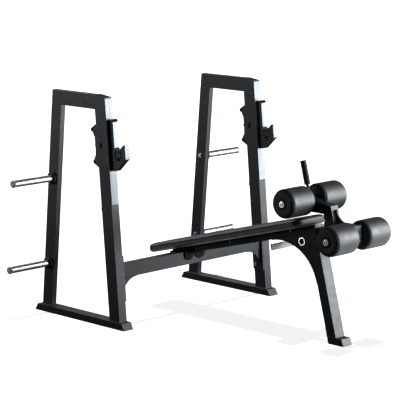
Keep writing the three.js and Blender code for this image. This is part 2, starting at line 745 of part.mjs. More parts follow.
function roller(axle, side) {
  const { radius, inner, outer, edge, bore } = ROLLER;
  const profile = [[bore, side * inner], [radius - edge, side * inner]];
  const steps = 4;
  for (let i = 1; i <= steps; i += 1) {
    const angle = (Math.PI / 2) * (i / steps);
    profile.push([radius - edge + edge * Math.sin(angle), side * (inner + edge - edge * Math.cos(angle))]);
  }
  for (let i = 0; i <= steps; i += 1) {
    const angle = (Math.PI / 2) * (i / steps);
    profile.push([radius - edge + edge * Math.cos(angle), side * (outer - edge + edge * Math.sin(angle))]);
  }
  profile.push([bore, side * outer], [bore, side * inner]);
  return turned(profile, axle.y, axle.z, 40);
}

// washer and socket-head screw that keep a roller on its axle
function rollerCap(axle, side) {
  const start = AXLE.halfLength + GAP;
  const { radius, thickness, socket } = ROLLER_CAP;
  const profile = [
    [0, side * start],
    [radius, side * start],
    [radius, side * (start + thickness / 2)],
    [radius - 7, side * (start + thickness / 2)],
    [radius - 8, side * (start + thickness)],
    [socket, side * (start + thickness)],
    [socket, side * (start + thickness / 2)],
    [0, side * (start + thickness / 2)],
  ];
  return turned(profile, axle.y, axle.z, 24);
}

// grab handle that stands square to the bench on the upper axle hub
function handlePoint(distance) {
  const y = UPPER_AXLE.y + distance * Math.sin(SLOPE);
  const z = UPPER_AXLE.z + distance * Math.cos(SLOPE);
  return new THREE.Vector3(0, y, z);
}

function handleRod() {
  return bar(HANDLE.radius, handlePoint(HANDLE.start), handlePoint(HANDLE.gripEnd - 6), 24);
}

function handleGrip() {
  const sleeve = bar(HANDLE.gripRadius, handlePoint(HANDLE.gripStart), handlePoint(HANDLE.gripEnd), 28);
  const bore = bar(HANDLE.radius + GAP, handlePoint(HANDLE.gripStart - 5), handlePoint(HANDLE.gripEnd - 5.5), 24);
  return sleeve.subtract(bore);
}

add("leg_hold_frame", legHoldFrame(), blackPaint);
add("leg_hold_web", legHoldWeb(), blackPaint);
add("handle_rod", handleRod(), blackPaint);
add("handle_grip", handleGrip(), rubber);
for (const [level, axle] of [["upper", UPPER_AXLE], ["lower", LOWER_AXLE]]) {
  add(`${level}_axle`, rod(AXLE.radius, -AXLE.halfLength, AXLE.halfLength, axle.y, axle.z), chrome);
  for (const [sideName, side] of [["left", -1], ["right", 1]]) {
    add(`${level}_roller_${sideName}`, roller(axle, side), vinyl);
    add(`${level}_roller_cap_${sideName}`, rollerCap(axle, side), brushed);
  }
}

// the origin is the middle of the footprint on the floor
const rearEnd = RAIL.bottomReach;
const frontEnd = LOWER_AXLE.y - ROLLER.radius;
machine.position.set(0, -(rearEnd + frontEnd) / 2, 0);

export default machine;
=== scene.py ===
"""Looks of the Olympic decline bench press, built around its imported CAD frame. Metres, +Z up."""
import json
import math

import bmesh
import bpy
import numpy as np
from mathutils import Matrix, Vector, noise
from mathutils.bvhtree import BVHTree


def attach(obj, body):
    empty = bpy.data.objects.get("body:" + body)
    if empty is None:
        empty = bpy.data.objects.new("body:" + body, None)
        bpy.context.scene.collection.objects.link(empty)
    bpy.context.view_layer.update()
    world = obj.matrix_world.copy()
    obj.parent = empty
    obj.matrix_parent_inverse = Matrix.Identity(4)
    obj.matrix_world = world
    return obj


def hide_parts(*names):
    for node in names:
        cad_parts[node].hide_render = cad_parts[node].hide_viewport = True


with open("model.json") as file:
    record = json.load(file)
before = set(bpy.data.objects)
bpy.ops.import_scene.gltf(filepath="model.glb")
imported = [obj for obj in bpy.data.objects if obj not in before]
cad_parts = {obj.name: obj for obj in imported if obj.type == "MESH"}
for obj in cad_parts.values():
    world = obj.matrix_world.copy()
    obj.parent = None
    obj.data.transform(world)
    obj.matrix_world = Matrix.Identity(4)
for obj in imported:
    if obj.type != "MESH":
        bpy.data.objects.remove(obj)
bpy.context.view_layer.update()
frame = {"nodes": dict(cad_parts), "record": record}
scene = bpy.context.scene

# ---------------------------------------------------------------- sizes shared with the CAD
ORIGIN_Y = 0.5985  # the middle between the side frames, along Y
SLOPE = math.atan(0.2652)
LEAN = math.atan(0.08925)
SIDE_X = 0.6
FRONT_FACE_Y = ORIGIN_Y - 0.2947 - 0.042 / math.cos(LEAN)  # upright's front face at z = 0.04
UPPER_AXLE = Vector((0, ORIGIN_Y - 1.185, 0.768))
LOWER_AXLE = Vector((0, ORIGIN_Y - 1.497, 0.6055))
BEAM_HALF = 0.0375  # half the width of the bench beam and its leg
BEAM_SIDE = 0.0376  # just outside them, where screws and washers sit
BEAM_DEPTH = 0.040
FEET_TOP = 0.0402
SIDES = (("left", -1), ("right", 1))

PAD = {"half": 0.130, "head": 0.028, "foot": 1.255, "head_r": 0.060, "foot_r": 0.050,
       "low": 0.0012, "high": 0.050, "edge": 0.021, "power": 2.3}
SEAMS = (0.0195, 0.0385)  # heights of the pad's two welts
ROLLER = {"radius": 0.0806, "inner": 0.039, "outer": 0.225, "edge": 0.022, "bore": 0.0131}


def axes_matrix(x, y, z, origin):
    m = Matrix((x, y, z)).transposed().to_4x4()
    m.translation = origin
    return m


# bench axes: x across, y towards the head, z square to the bench, from the top of its beam
BENCH = axes_matrix(Vector((1, 0, 0)), Vector((0, math.cos(SLOPE), -math.sin(SLOPE))),
                    Vector((0, math.sin(SLOPE), math.cos(SLOPE))), Vector((0, ORIGIN_Y, 0.308)))
# upright axes: x across, y towards the rear, z up along the upright, from its front face's foot
UPRIGHT = axes_matrix(Vector((1, 0, 0)), Vector((0, math.cos(LEAN), -math.sin(LEAN))),
                      Vector((0, math.sin(LEAN), math.cos(LEAN))), Vector((0, FRONT_FACE_Y, 0.04)))


def bench(x, along, height):
    return BENCH @ Vector((x, -along, height))


def upright(x, out, up):
    return UPRIGHT @ Vector((x, -out, up))


def machine(x, y, z):
    """A point given by its distance along Y from the middle of the side frames."""
    return Vector((x, ORIGIN_Y + y, z))


# ---------------------------------------------------------------- materials
class Nodes:
    """A small helper around one material's node tree."""

    def __init__(self, name):
        self.material = bpy.data.materials.new(name)
        self.material.use_nodes = True
        self.tree = self.material.node_tree
        self.shader = self.tree.nodes["Principled BSDF"]
        self.coordinates = self.add("ShaderNodeTexCoord").outputs["Object"]

    def add(self, kind, **values):
        node = self.tree.nodes.new(kind)
        for key, value in values.items():
            setattr(node, key, value)
        return node

    def link(self, source, target):
        self.tree.links.new(source, target)

    def set(self, **values):
        for key, value in values.items():
            self.shader.inputs[key.replace("_", " ")].default_value = value

    def noise(self, scale, detail=3.0, roughness=0.5, stretch=None):
        node = self.add("ShaderNodeTexNoise")
        node.inputs["Scale"].default_value = scale
        node.inputs["Detail"].default_value = detail
        node.inputs["Roughness"].default_value = roughness
        source = self.coordinates
        if stretch:
            mapping = self.add("ShaderNodeMapping")
            mapping.inputs["Scale"].default_value = stretch
            self.link(source, mapping.inputs["Vector"])
            source = mapping.outputs["Vector"]
        self.link(source, node.inputs["Vector"])
        return node.outputs["Fac"]

    def cells(self, scale, feature="F1"):
        node = self.add("ShaderNodeTexVoronoi", feature=feature)
        node.inputs["Scale"].default_value = scale
        self.link(self.coordinates, node.inputs["Vector"])
        return node.outputs["Distance"]

    def waves(self, scale, direction, distortion=0.0):
        node = self.add("ShaderNodeTexWave", bands_direction=direction)
        node.inputs["Scale"].default_value = scale
        node.inputs["Distortion"].default_value = distortion
        self.link(self.coordinates, node.inputs["Vector"])
        return node.outputs["Fac"]

    def remap(self, source, low, high, to_low, to_high):
        node = self.add("ShaderNodeMapRange")
        ends = {"From Min": low, "From Max": high, "To Min": to_low, "To Max": to_high}
        for socket, value in ends.items():
            node.inputs[socket].default_value = value
        self.link(source, node.inputs["Value"])
        return node.outputs["Result"]

    def product(self, a, b):
        node = self.add("ShaderNodeMath", operation="MULTIPLY")
        self.link(a, node.inputs[0])
        self.link(b, node.inputs[1])
        return node.outputs["Value"]

    def mix(self, factor, a, b):
        node = self.add("ShaderNodeMix", data_type="RGBA")
        self.link(factor, node.inputs["Factor"])
        for socket, value in ((node.inputs[6], a), (node.inputs[7], b)):
            if isinstance(value, tuple):
                socket.default_value = (*value, 1.0)
            else:
                self.link(value, socket)
        return node.outputs[2]

    def bump(self, height, strength, distance, before=None):
        node = self.add("ShaderNodeBump")
        node.inputs["Strength"].default_value = strength
        node.inputs["Distance"].default_value = distance
        self.link(height, node.inputs["Height"])
        if before is not None:
            self.link(before, node.inputs["Normal"])
        return node.outputs["Normal"]

    def edges(self, low, high):
        """0 on flats, rising to 1 on convex edges."""
        pointiness = self.add("ShaderNodeNewGeometry").outputs["Pointiness"]
        return self.remap(pointiness, low, high, 0.0, 1.0)

    def finish(self, color=None, roughness=None, normal=None):
        for source, socket in ((color, "Base Color"), (roughness, "Roughness"), (normal, "Normal")):
            if source is not None:
                self.link(source, self.shader.inputs[socket])
        return self.material


def powder_coat():
    m = Nodes("powder_coat")
    m.set(Metallic=0.0, Specular_IOR_Level=0.42)
    blotches = m.noise(5.0, 4.0, 0.6)
    dark, light = (0.0090, 0.0105, 0.0125), (0.0145, 0.0165, 0.0190)
    paint = m.mix(m.remap(blotches, 0.35, 0.7, 0.0, 1.0), dark, light)
    patches = m.remap(m.noise(60.0, 4.0, 0.7), 0.45, 0.7, 0.0, 0.5)
    scuffs = m.product(m.edges(0.53, 0.60), patches)
    color = m.mix(scuffs, paint, (0.075, 0.078, 0.082))
    roughness = m.remap(m.noise(35.0, 3.0), 0.3, 0.7, 0.37, 0.47)
    orange_peel = m.bump(m.noise(700.0, 2.0), 0.16, 0.00025)
    return m.finish(color, roughness, m.bump(m.cells(2600.0), 0.08, 0.0001, orange_peel))


def brushed_steel(name, color, stretch, roughness=(0.24, 0.40)):
    m = Nodes(name)
    m.set(Metallic=1.0)
    grain = m.noise(40.0, 5.0, 0.65, stretch)
    tint = m.mix(m.remap(grain, 0.3, 0.7, 0.0, 1.0), color, tuple(0.86 * c for c in color))
    return m.finish(tint, m.remap(grain, 0.3, 0.7, *roughness), m.bump(grain, 0.12, 0.0001))


def chrome():
    m = Nodes("satin_chrome")
    m.set(Metallic=1.0)
    haze = m.noise(14.0, 4.0, 0.6)
    rub = m.noise(60.0, 3.0, 0.6, (1.0, 0.2, 0.2))
    color = m.mix(m.remap(haze, 0.35, 0.65, 0.0, 1.0), (0.80, 0.82, 0.85), (0.72, 0.74, 0.77))
    return m.finish(color, m.remap(rub, 0.35, 0.7, 0.36, 0.46))


def vinyl(name, dark, light, specular, gloss, grain=520.0):
    m = Nodes(name)
    m.set(Specular_IOR_Level=specular, Sheen_Weight=0.02, Sheen_Roughness=0.5)
    blotches = m.noise(9.0, 4.0, 0.6)
    pits = m.cells(grain, "SMOOTH_F1")
    color = m.mix(m.remap(blotches, 0.35, 0.68, 0.0, 1.0), dark, light)
    # the pits of the grain, the hollows of the bump, are darker: painted shade
    color = m.mix(m.remap(pits, 0.0, 0.35, 0.35, 0.0), color, tuple(0.5 * c for c in dark))
    roughness = m.remap(m.noise(22.0, 3.0), 0.3, 0.7, *gloss)
    pebbles = m.bump(pits, 0.35, 0.0005)
    creases = m.bump(m.noise(70.0, 4.0, 0.65), 0.12, 0.0012, pebbles)
    return m.finish(color, roughness, creases)


def rubber():
    m = Nodes("black_rubber")
    m.set(Specular_IOR_Level=0.3)
    dust = m.noise(45.0, 4.0, 0.6)
    color = m.mix(m.remap(dust, 0.4, 0.7, 0.0, 1.0), (0.010, 0.010, 0.011), (0.022, 0.022, 0.023))
    grain = m.bump(m.noise(1400.0, 2.0), 0.25, 0.0002)
    return m.finish(color, m.remap(dust, 0.3, 0.7, 0.55, 0.78), grain)


def plastic(name, light, dark, roughness=(0.30, 0.45)):
    m = Nodes(name)
    m.set(Specular_IOR_Level=0.5)
    swirl = m.noise(30.0, 3.0)
    color = m.mix(m.remap(swirl, 0.35, 0.7, 0.0, 1.0), light, dark)
    grain = m.bump(m.noise(1800.0, 1.0), 0.12, 0.0001)
    return m.finish(color, m.remap(swirl, 0.3, 0.7, *roughness), grain)


def recess_black():
    m = Nodes("recess_black")
    m.set(Specular_IOR_Level=0.12)
    grime = m.noise(60.0, 4.0, 0.6)
    color = m.mix(m.remap(grime, 0.4, 0.7, 0.0, 1.0), (0.0015, 0.0017, 0.002), (0.004, 0.004, 0.0045))
    grain = m.bump(m.noise(900.0, 2.0), 0.2, 0.0002)
    return m.finish(color, m.remap(grime, 0.3, 0.7, 0.6, 0.85), grain)


def backing_cloth():
    m = Nodes("backing_cloth")
    m.set(Sheen_Weight=0.3)
    weave = m.product(m.waves(260.0, "X"), m.waves(260.0, "Y"))
    color = m.mix(weave, (0.012, 0.011, 0.010), (0.040, 0.038, 0.036))
    return m.finish(color, m.remap(weave, 0.0, 1.0, 0.9, 0.75), m.bump(weave, 0.4, 0.0004))


def thread():
    m = Nodes("grey_thread")
    twist = m.waves(900.0, "DIAGONAL", 1.0)
    color = m.mix(twist, (0.055, 0.057, 0.060), (0.13, 0.135, 0.14))
    return m.finish(color, m.remap(twist, 0.0, 1.0, 0.75, 0.6), m.bump(twist, 0.5, 0.0002))


MATERIALS = {
    "frame_paint": powder_coat(),
    "wear_steel": brushed_steel("wear_steel", (0.265, 0.275, 0.29), (1.0, 1.0, 0.04), (0.50, 0.60)),
    "fastener_steel": brushed_steel("zinc_steel", (0.74, 0.75, 0.76), (1.0, 0.3, 1.0)),
    "axle_steel": brushed_steel("turned_steel", (0.55, 0.56, 0.57), (0.05, 1.0, 1.0)),
    "horn_chrome": chrome(),
    "black_rubber": rubber(),
    "horn_cap_plastic": plastic("pale_plastic", (0.66, 0.66, 0.67), (0.52, 0.52, 0.53)),
    "pad_vinyl": vinyl("pad_vinyl", (0.010, 0.011, 0.013), (0.016, 0.017, 0.019), 0.68, (0.50, 0.60)),
    "roller_vinyl": vinyl("roller_vinyl", (0.006, 0.0065, 0.008), (0.010, 0.011, 0.013), 0.70,
                          (0.50, 0.60), 640.0),
    "board_wood": backing_cloth(),
}
BLACK_PLASTIC = plastic("black_plastic", (0.004, 0.004, 0.005), (0.008, 0.008, 0.009), (0.55, 0.75))
CAP_ALUMINIUM = brushed_steel("cap_aluminium", (0.90, 0.91, 0.93), (1.0, 0.5, 1.0), (0.22, 0.32))
THREAD = thread()
RECESS = recess_black()


# ---------------------------------------------------------------- mesh helpers
def new_piece(name, bm, material, body, smooth=35):
    mesh = bpy.data.meshes.new(name)
    bmesh.ops.recalc_face_normals(bm, faces=bm.faces)
    bm.to_mesh(mesh)
    bm.free()
    return mesh_piece(name, mesh, material, body, smooth)


def mesh_piece(name, mesh, material, body, smooth=35):
    mesh.materials.clear()
    mesh.materials.append(material)
    mesh.shade_smooth()
    mesh.set_sharp_from_angle(angle=math.radians(smooth))
    piece = bpy.data.objects.new(name, mesh)
    scene.collection.objects.link(piece)
    if body:
        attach(piece, body)
    return piece


def along_axis(center, axis, spin=0.0):
    """A matrix that stands local +Z along axis at center."""
    turn = Vector(axis).normalized().to_track_quat("Z", "Y").to_matrix().to_4x4()
    return Matrix.Translation(center) @ turn @ Matrix.Rotation(spin, 4, "Z")


def lathe(bm, profile, matrix, segments=48, wobble=None):
    """Revolves (radius, height) pairs about local +Z. wobble(r, h, angle) moves a point outwards."""
    rings = []
    for radius, height in profile:
        ring = []
        for k in range(segments):
            angle = 2 * math.pi * k / segments
            r = radius + (wobble(radius, height, angle) if wobble and radius > 1e-6 else 0.0)
            ring.append(bm.verts.new(matrix @ Vector((r * math.cos(angle), r * math.sin(angle), height))))
            if radius <= 1e-6:
                break
        rings.append(ring)
    for low, high in zip(rings, rings[1:]):
        for k in range(segments):
            a, b = low[k % len(low)], low[(k + 1) % len(low)]
            c, d = high[(k + 1) % len(high)], high[k % len(high)]
            corners = [v for i, v in enumerate((a, b, c, d)) if v not in (a, b, c, d)[:i]]
            if len(corners) > 2:
                bm.faces.new(corners)


def tube(bm, points, radius, closed=True, sides=10, ripple=None):
    """Sweeps a circle along points. ripple(i) scales its radius at point i."""
    count = len(points)
    rings = []
    for i, point in enumerate(points):
        before = points[i - 1] if closed or i else point
        after = points[(i + 1) % count] if closed or i < count - 1 else point
        direction = (after - before).normalized()
        side = direction.cross(Vector((0.13, 0.21, 0.97))).normalized()
        up = side.cross(direction)
        r = radius * (ripple(i) if ripple else 1.0)
        rings.append([bm.verts.new(point + r * (math.cos(t) * side + math.sin(t) * up))
                      for t in (2 * math.pi * k / sides for k in range(sides))])
    for i in range(count if closed else count - 1):
        low, high = rings[i], rings[(i + 1) % count]
        for k in range(sides):
            bm.faces.new((low[k], low[(k + 1) % sides], high[(k + 1) % sides], high[k]))
    if not closed:
        for ring in (rings[0], rings[-1]):
            bm.faces.new(ring)


def resampled(corners, step, closed=True):
    """Points every step along a polyline."""
    ends = corners[1:] + corners[:1] if closed else corners[1:]
    points = []
    for a, b in zip(corners, ends):
        n = max(1, round((b - a).length / step))
        points += [a.lerp(b, i / n) for i in range(n)]
    return points if closed else points + [corners[-1]]


# ---------------------------------------------------------------- carried-over CAD nodes
# rounding of the edges by part of the node's name; tubes are rounded more
PLATE_EDGES = {"wear_strip": 0.0006, "hook_liner": 0.0006, "upright_cap": 0.0008,
               "crossbar_end_plate": 0.0012, "leg_gusset": 0.0012, "beam_bracket": 0.0015,
               "hook_carriage": 0.0020, "bar_hook": 0.0018,
               "cross_tie": 0.0012, "leg_hold_web": 0.0012, "roller_cap": 0.0008, "horn_cap": 0.0012,
               "horn_collar": 0.0012, "plate_horn": 0.0008, "axle": 0.0008, "pull_pin": 0.0012,
               "handle": 0.0008, "hook_stop": 0.0015, "pad_board": 0.0010}
TUBE_EDGE = 0.0042


def edge_width(name):
    """The first stem found in the node's name decides."""
    return next((width for stem, width in PLATE_EDGES.items() if stem in name), TUBE_EDGE)


def dress_frame():
    """Gives every CAD node its material, clean flats and rounded edges."""
    for entry in frame["record"]["subparts"]:
        node = frame["nodes"][entry["node"]]
        for slot in node.material_slots:
            slot.material = MATERIALS[entry["material_slot"]]
        if "roller_cap" in entry["node"]:
            node.material_slots[0].material = CAP_ALUMINIUM
        if entry["node"] == "beam_bracket":
            node.material_slots[0].material = RECESS
        node.data.shade_smooth()
        weld = node.modifiers.new("weld", "WELD")
        weld.merge_threshold = 0.00002
        flats = node.modifiers.new("flats", "DECIMATE")
        flats.decimate_type = "DISSOLVE"
        flats.angle_limit = math.radians(1.0)
        bevel = node.modifiers.new("bevel", "BEVEL")
        bevel.width = edge_width(entry["node"])
        bevel.segments = 3
        bevel.limit_method = "ANGLE"
        bevel.angle_limit = math.radians(33)
        normals = node.modifiers.new("normals", "WEIGHTED_NORMAL")
        normals.weight = 60


# ---------------------------------------------------------------- bench pad
# the cloth run, and how much of its swelling each region keeps
SWELL = {"shrink": 0.0015, "voxel": 0.005, "pressure": 4.0, "most": 0.006, "share": 0.5, "below": 0.35,
         "side": 0.03, "seam_reach": 0.008, "lowest": -0.001}
CROWN = {"height": 0.0035, "reach": 0.07}
WELT_RADIUS = 0.0017
STITCH = {"from_welt": 0.0042, "lift": 0.0002, "radius": 0.00045}


def pad_inset(height):
    """How far the rounded side of the pad lies inside its widest outline, at a height."""
    middle = (PAD["low"] + PAD["high"]) / 2
    t = min(1.0, abs(height - middle) / (PAD["high"] - middle))
    return PAD["edge"] * (1 - (1 - t ** PAD["power"]) ** (1 / PAD["power"]))


def pad_outline(inset, step=0.006):
    """Points round the pad in (x, along), pulled in by inset."""
    w, head, foot = PAD["half"] - inset, PAD["head"] + inset, PAD["foot"] - inset
    rh, rf = PAD["head_r"] - inset, PAD["foot_r"] - inset
    corners = ((w - rf, foot - rf, rf, 0), (rf - w, foot - rf, rf, 90),
               (rh - w, head + rh, rh, 180), (w - rh, head + rh, rh, 270))
    points = []
    steps = 12
    for x, a, r, start in corners:
        for k in range(steps + 1):
            t = math.radians(start + 90 / steps * k)
            points.append(Vector((x + r * math.cos(t), a + r * math.sin(t), 0)))
    return resampled(points, step)


def pad_shape(shrink):
    """The closed pad, as rings of outline from its underside to its top."""
    bm = bmesh.new()
    low, high = PAD["low"], PAD["high"]
    steps = 18
    base = pad_outline(0.0)
    middle = Vector((0, (PAD["head"] + PAD["foot"]) / 2, 0))
    rings = []
    for k in range(steps + 1):
        height = low + (high - low) * 0.5 * (1 - math.cos(math.pi * k / steps))
        inset = pad_inset(height) + shrink
        ring = []
        for i, p in enumerate(base):
            tangent = base[(i + 1) % len(base)] - base[i - 1]
            inward = Vector((-tangent.y, tangent.x, 0)).normalized()
            q = p + inward * inset
            h = min(max(height, low + shrink), high - shrink)
            ring.append(bm.verts.new(bench(q.x, q.y, h)))
        rings.append(ring)
    for a, b in zip(rings, rings[1:]):
        for i in range(len(a)):
            j = (i + 1) % len(a)
            bm.faces.new((a[i], a[j], b[j], b[i]))
    for ring, h in ((rings[0], low + shrink), (rings[-1], high - shrink)):
        hub = bm.verts.new(bench(middle.x, middle.y, h))
        for i in range(len(ring)):
            bm.faces.new((ring[i], ring[(i + 1) % len(ring)], hub))
    bmesh.ops.recalc_face_normals(bm, faces=bm.faces)
    return bm


def applied(piece):
    """The piece's mesh with its modifiers applied."""
    evaluated = piece.evaluated_get(bpy.context.evaluated_depsgraph_get())
    mesh = bpy.data.meshes.new_from_object(evaluated)
    piece.modifiers.clear()
    piece.data = mesh
    return mesh


def inflate(piece, pressure, cap):
    """Swells a closed mesh with a short cloth run. Gives its first points and their moves, capped."""
    frames = 20
    before = np.array([v.co for v in piece.data.vertices])
    cloth = piece.modifiers.new("cloth", "CLOTH")
    cloth.settings.quality = 6
    cloth.settings.tension_stiffness = 25
    cloth.settings.compression_stiffness = 25
    cloth.settings.bending_stiffness = 2
    cloth.settings.use_pressure = True
    cloth.settings.uniform_pressure_force = pressure
    cloth.settings.effector_weights.gravity = 0
    cloth.point_cache.frame_end = frames
    for number in range(1, frames + 1):
        scene.frame_set(number)
    mesh = applied(piece)
    after = np.array([v.co for v in mesh.vertices])
    moved = after - before
    length = np.linalg.norm(moved, axis=1, keepdims=True)
    moved *= np.minimum(1.0, cap / np.maximum(length, 1e-9))
    scene.frame_set(1)
    return before, moved


def settled(start, push):
    """Where a swollen point of the pad comes to rest, in bench axes: held by the seams, crowned on top."""
    middle = (PAD["low"] + PAD["high"]) / 2
    top = max(0.0, (start.z - middle) / (PAD["high"] - middle))
    inside = PAD["half"] - abs(start.x)
    ends = min(-start.y - PAD["head"], PAD["foot"] + start.y)
    depth = min(1.0, max(0.0, min(inside, ends) / CROWN["reach"]))
    crown = CROWN["height"] * (1 - (1 - depth) ** 2) * top ** 3
    seam = min(abs(start.z - SEAMS[0]), abs(start.z - SEAMS[1]))
    near_side = inside < SWELL["side"] or ends < SWELL["side"]
    free = min(1.0, seam / SWELL["seam_reach"]) if near_side else 1.0
    push *= SWELL["share"] * free * (1.0 if start.z > middle else SWELL["below"])
    push.z = max(push.z, SWELL["lowest"])
    rest = start + push + Vector((0, 0, crown))
    rest.z = max(rest.z, PAD["low"])
    return rest


def build_pad():
    bm = pad_shape(SWELL["shrink"])
    mesh = bpy.data.meshes.new("pad_shell")
    bm.to_mesh(mesh)
    bm.free()
    pad = bpy.data.objects.new("pad_shell", mesh)
    scene.collection.objects.link(pad)
    remesh = pad.modifiers.new("remesh", "REMESH")
    remesh.mode = "VOXEL"
    remesh.voxel_size = SWELL["voxel"]
    mesh = applied(pad)
    to_bench = BENCH.inverted()
    co = np.array([v.co for v in mesh.vertices])
    moved = np.zeros_like(co)
    co, moved = inflate(pad, SWELL["pressure"], SWELL["most"])
    mesh = pad.data
    for i, vertex in enumerate(mesh.vertices):
        start = to_bench @ Vector(co[i])
        push = to_bench.to_3x3() @ Vector(moved[i])
        vertex.co = BENCH @ settled(start, push)
    smooth = pad.modifiers.new("smooth", "LAPLACIANSMOOTH")
    smooth.lambda_factor = 0.02
    smooth.iterations = 2
    divide = pad.modifiers.new("divide", "SUBSURF")
    divide.levels = divide.render_levels = 1
    mesh = applied(pad)
    bpy.data.objects.remove(pad)
    return mesh_piece("pad_upholstery", mesh, MATERIALS["pad_vinyl"], "frame", 60)


def on_surface(tree, point, outward):
    """The point of the pad's surface found by looking inwards from outside."""
    hit = tree.ray_cast(point + outward * 0.03, -outward, 0.06)[0]
    return hit if hit is not None else point


def build_seams(pad):
    """Welt cords sunk into the pad's side, with a row of stitches beside each."""
    tree = BVHTree.FromObject(pad, bpy.context.evaluated_depsgraph_get())
    cords, stitches = bmesh.new(), bmesh.new()
    outline = pad_outline(0.0, 0.004)
    out_of = []
    for i, p in enumerate(outline):
        tangent = outline[(i + 1) % len(outline)] - outline[i - 1]
        out_of.append(BENCH.to_3x3() @ Vector((tangent.y, tangent.x, 0)).normalized())
    for height in SEAMS:
        line = [on_surface(tree, bench(p.x, p.y, height), o) for p, o in zip(outline, out_of)]
        tube(cords, line, WELT_RADIUS, sides=8)
        away = STITCH["from_welt"] if height == SEAMS[1] else -STITCH["from_welt"]
        row = [on_surface(tree, bench(p.x, p.y, height + away), o) + o * STITCH["lift"]
               for p, o in zip(outline, out_of)]
        for i in range(0, len(row) - 1, 2):
            stitch = [row[i].lerp(row[i + 1], t) for t in (0.05, 0.5, 0.95)]
            tube(stitches, stitch, STITCH["radius"], closed=False, sides=5)
    return [new_piece("pad_welts", cords, MATERIALS["pad_vinyl"], "frame", 80),
            new_piece("pad_stitches", stitches, THREAD, "frame", 80)]


# ---------------------------------------------------------------- rollers
def roller_profile():
    """(radius, distance from the inner end) of one roller, from bore to bore."""
    length = ROLLER["outer"] - ROLLER["inner"]
    radius, edge, bore = ROLLER["radius"], ROLLER["edge"], ROLLER["bore"]
    rise = [(bore, 0.003), (bore + 0.010, 0.0012), (0.040, 0.0002), (radius - edge, 0.0)]
    steps = 10
    curve = [(radius - edge + edge * math.sin(math.radians(90 * k / steps)),
              edge - edge * math.cos(math.radians(90 * k / steps))) for k in range(1, steps + 1)]
    half = rise + curve
    body = [(radius, edge + (length - 2 * edge) * k / 24) for k in range(1, 24)]
    return half + body + [(r, length - h) for r, h in reversed(half)]


def roller_wobble(seed):
    """Foam under vinyl: a soft swell, faint lengthwise waves, and gathers at the rounded ends."""
    length = ROLLER["outer"] - ROLLER["inner"]

    def wobble(radius, height, angle):
        around = Vector((math.cos(angle), math.sin(angle), 0)) * 1.6
        swell = 0.0004 * math.sin(math.pi * height / length)
        waves = 0.0007 * noise.noise(around + Vector((0, 0, height * 9 + seed)))
        gather = max(0.0, 1 - abs(radius - 0.070) / 0.012) * 0.0006
        pleats = gather * math.sin(angle * 34 + 2.0 * noise.noise(around * 2 + Vector((0, 0, seed))))
        return (swell + waves + pleats) * min(1.0, radius / ROLLER["radius"])

    return wobble


def build_rollers():
    """Foam rollers with a welt near each end and a black bush at the outer end."""
    pieces = []
    length = ROLLER["outer"] - ROLLER["inner"]
    profile = roller_profile()
    bore = [profile[-1], profile[0]]
    welt = {"radius": 0.0734, "from_end": 0.0062, "thickness": 0.0011}
    for index, (level, axle) in enumerate((("upper", UPPER_AXLE), ("lower", LOWER_AXLE))):
        for name, side in SIDES:
            body = f"{level}_{name}_roller"
            start = axle + Vector((side * ROLLER["inner"], 0, 0))
            place = along_axis(start, (side, 0, 0))
            bm = bmesh.new()
            lathe(bm, profile, place, 120, roller_wobble(3.1 * index + side))
            lathe(bm, bore, place, 120)
            bmesh.ops.remove_doubles(bm, verts=bm.verts, dist=0.00001)
            cover = MATERIALS["roller_vinyl"]
            piece = new_piece(f"{level}_{name}_foam_roller", bm, cover, body, 60)
            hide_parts(f"{level}_roller_{name}")
            seams = bmesh.new()
            radius = welt["radius"]
            for height in (welt["from_end"], length - welt["from_end"]):
                circle = [place @ Vector((radius * math.cos(t), radius * math.sin(t), height))
                          for t in (2 * math.pi * k / 120 for k in range(120))]
                tube(seams, circle, welt["thickness"], sides=8)
            welts = new_piece(f"{level}_{name}_roller_welts", seams, cover, body, 80)
            bush = bmesh.new()
            top = length + 0.0024
            lathe(bush, [(0.0132, length - 0.004), (0.029, length - 0.0004), (0.030, length + 0.0004),
                         (0.028, top - 0.0004), (0.026, top), (0.0132, top), (0.0132, length - 0.004)],
                  place, 64)
            collar = new_piece(f"{level}_{name}_roller_bush", bush, BLACK_PLASTIC, body, 40)
            pieces += [piece, welts, collar]
    return pieces


# ---------------------------------------------------------------- fasteners and small parts
# across the flats, head height and washer radius
PLATE_BOLT = (0.017, 0.0068, 0.0115)
CROSSBAR_BOLT = (0.019, 0.0075, 0.014)
LUG_BOLT = (0.013, 0.005, 0.0085)


def hex_bolt(bm, center, axis, size, spin=0.0):
    """Hexagon head with a chamfered, slightly domed top on a flat washer."""
    flats, height, washer = size
    place = along_axis(center, axis, spin)
    low, high = 0.0018, 0.0018 + height
    lathe(bm, [(0.0, 0.0), (washer, 0.0), (washer, 0.0014), (washer - 0.0004, low), (0.0, low)], place, 40)
    radius = flats / math.sqrt(3)
    head = [(0.0, low), (radius, low), (radius, high - 0.0014), (radius * 0.90, high), (0.0, high + 0.0003)]
    lathe(bm, head, place, 6)


def socket_screw(bm, center, axis, radius=0.0080, height=0.0042):
    """Button head with a hexagon socket."""
    place = along_axis(center, axis)
    dome = [(0.0, 0.0), (radius, 0.0)]
    for t in (15, 30, 45, 62):
        dome.append((radius * math.cos(math.radians(t)), height * math.sin(math.radians(t))))
    dome += [(radius * 0.36, height * 0.97), (radius * 0.34, height * 0.4), (0.0, height * 0.35)]
    lathe(bm, dome, place, 24)


